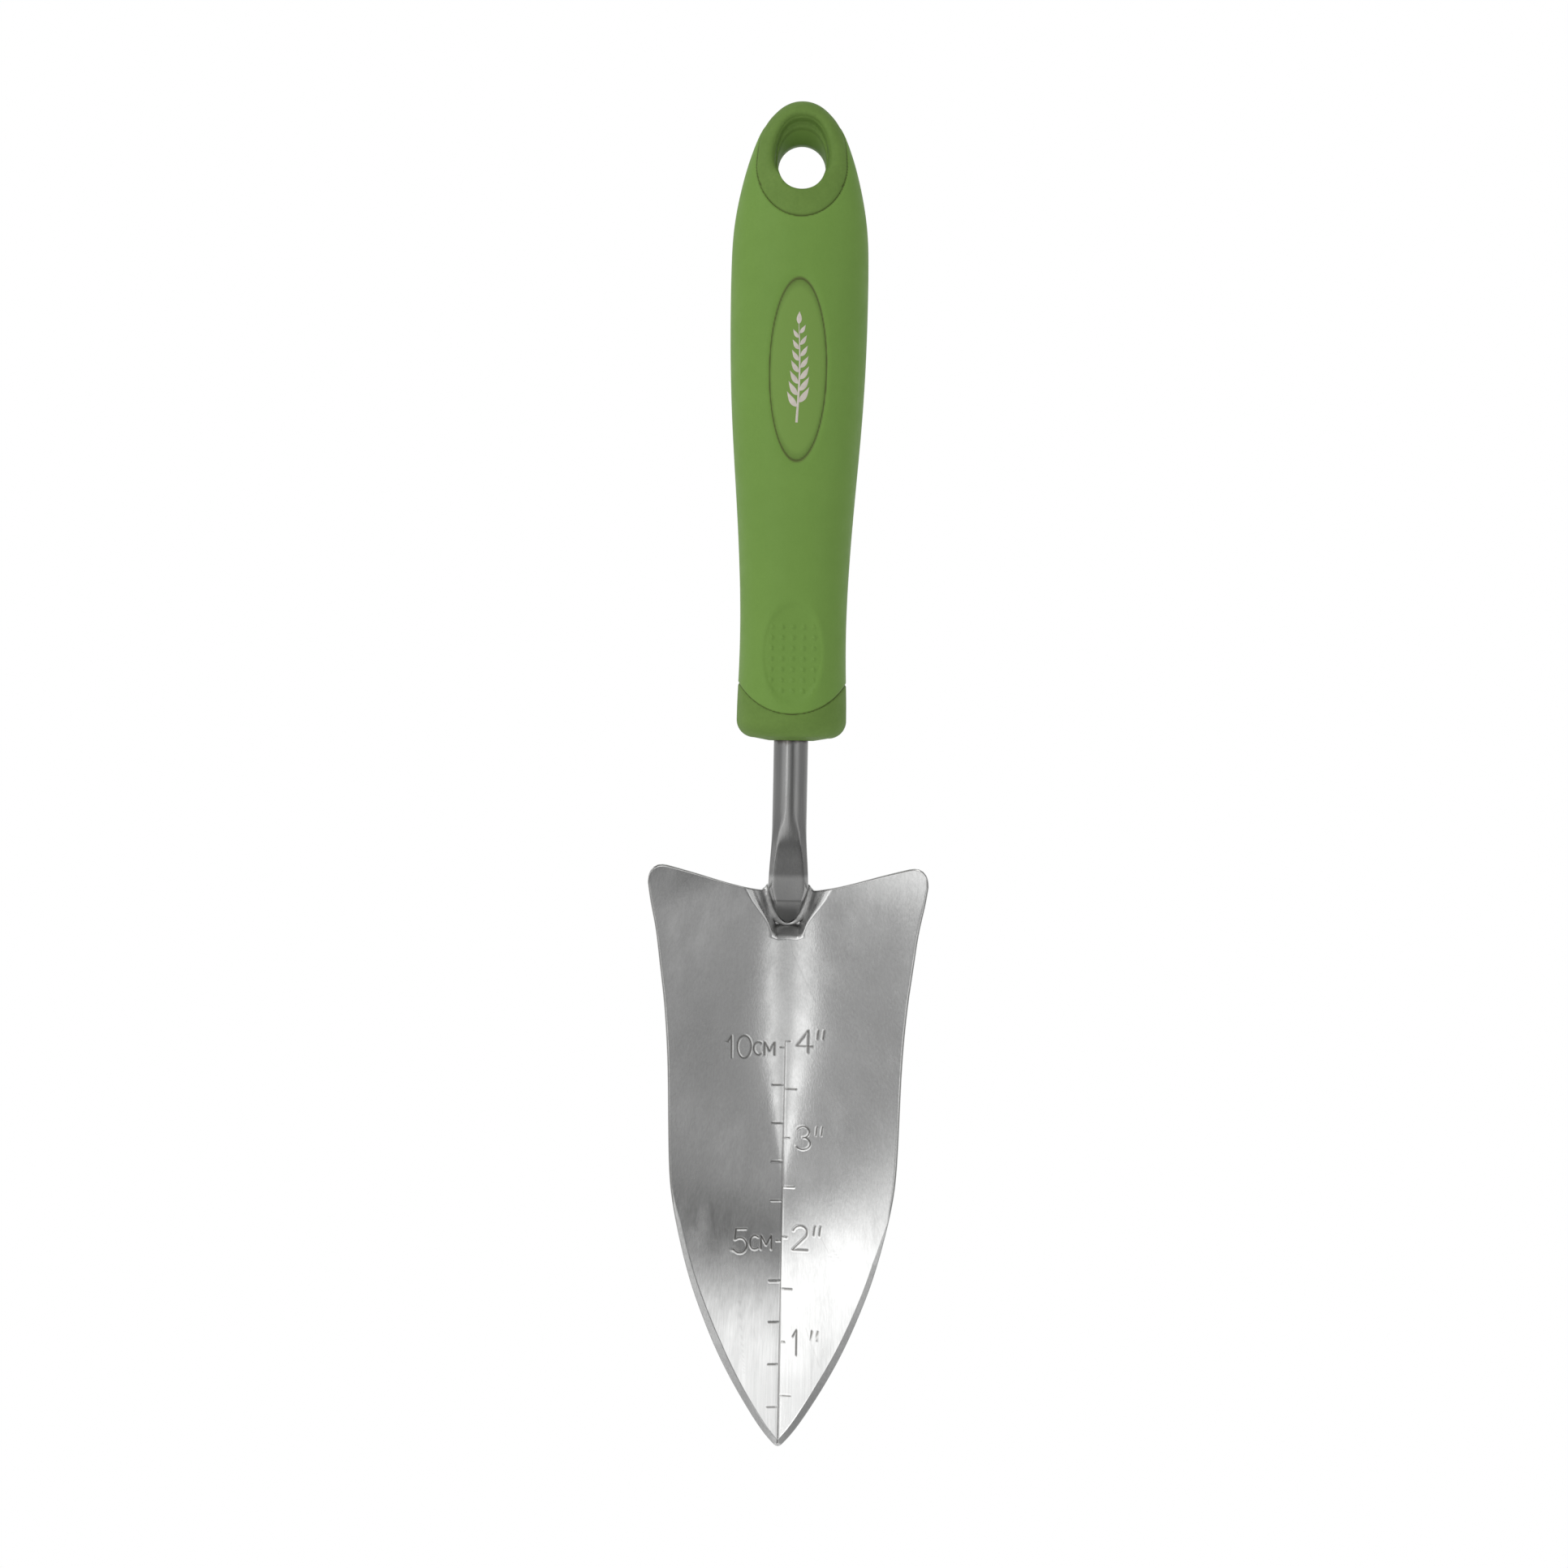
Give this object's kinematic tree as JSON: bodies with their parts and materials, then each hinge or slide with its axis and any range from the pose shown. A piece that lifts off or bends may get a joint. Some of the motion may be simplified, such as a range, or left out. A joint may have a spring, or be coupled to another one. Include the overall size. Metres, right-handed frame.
{
  "type": "hand trowel",
  "caption": "Garden hand trowel: pointed scoop blade with a V crease and stamped depth scale, cranked shank, soft-grip handle with a hang hole.",
  "frame": {"origin": "centre of the hang hole, half way across its round wall's axis", "axes": "+Z along the handle towards the butt, blade tip down; -Y the way the hollow face of the blade looks; +X to the right when looking at that face"},
  "size_m": [0.0628, 0.0573, 0.3111],
  "materials": {
    "blade_steel": "brushed and half polished",
    "shank_steel": "polished, forged end satin",
    "weld_steel": "ground weld",
    "core_plastic": "fine matt texture",
    "grip_rubber": "satin soft-touch"
  },
  "bodies": {
    "root": {"blade": "blade_steel", "tang": "shank_steel", "tang_weld": "weld_steel", "handle_core": "core_plastic", "grip_sleeve": "grip_rubber"}
  },
  "joints": []
}
